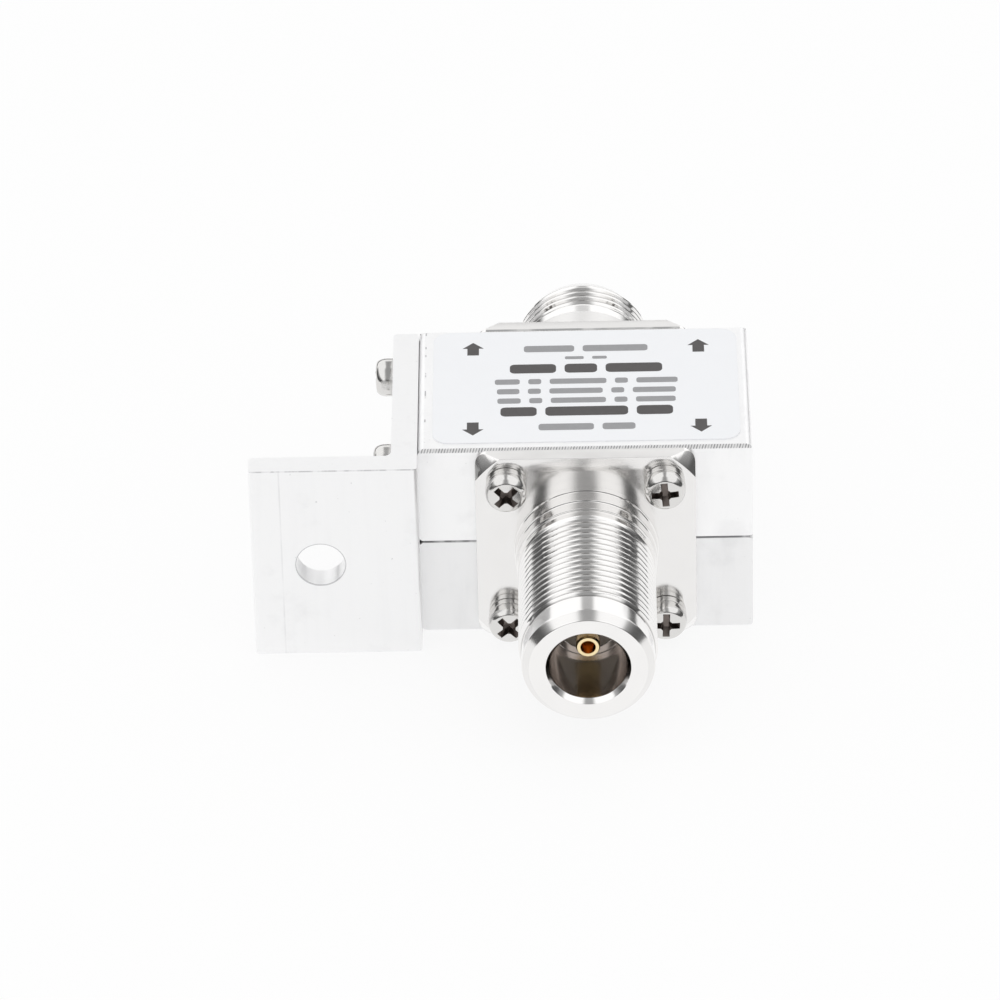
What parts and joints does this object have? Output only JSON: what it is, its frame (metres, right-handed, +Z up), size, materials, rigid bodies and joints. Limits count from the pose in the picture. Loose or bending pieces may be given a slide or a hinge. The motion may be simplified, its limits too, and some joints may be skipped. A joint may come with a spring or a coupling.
{
  "type": "coax lightning arrestor",
  "caption": "Split block housing with a type N jack on each of two faces, a gas tube and a blocking capacitor inside, and an angle bracket with a mounting hole on one side.",
  "frame": {"origin": "middle of the housing's flat bottom, under the coaxial line", "axes": "+X away from the bracket, +Y along the coaxial line towards the equipment jack, +Z up through the label"},
  "size_m": [0.058, 0.0711, 0.0255],
  "materials": {
    "housing_aluminium": "satin",
    "bracket_aluminium": "satin, extruded",
    "plated_brass": "bright nickel plate",
    "screw_steel": "bright",
    "gold_plate": "gold plate",
    "insulator_plastic": "matt",
    "capacitor_brass": "machined",
    "tube_ceramic": "matt",
    "tube_electrode": "bright",
    "label_film": "matt"
  },
  "bodies": {
    "root": {"upper_housing": "housing_aluminium", "lower_housing": "housing_aluminium", "mounting_bracket": "bracket_aluminium", "bracket_screws": "screw_steel", "antenna_jack": "plated_brass", "antenna_insulator": "insulator_plastic", "antenna_contact": "gold_plate", "antenna_flange_screws": "screw_steel", "antenna_lock_washers": "screw_steel", "equipment_jack": "plated_brass", "equipment_insulator": "insulator_plastic", "equipment_contact": "gold_plate", "equipment_flange_screws": "screw_steel", "antenna_capacitor_plate": "capacitor_brass", "capacitor_sheet": "insulator_plastic", "equipment_capacitor_plate": "capacitor_brass", "gas_tube_ceramic": "tube_ceramic", "gas_tube_ground_electrode": "tube_electrode", "gas_tube_line_electrode": "tube_electrode", "gas_tube_lead": "capacitor_brass", "label": "label_film"}
  },
  "joints": []
}
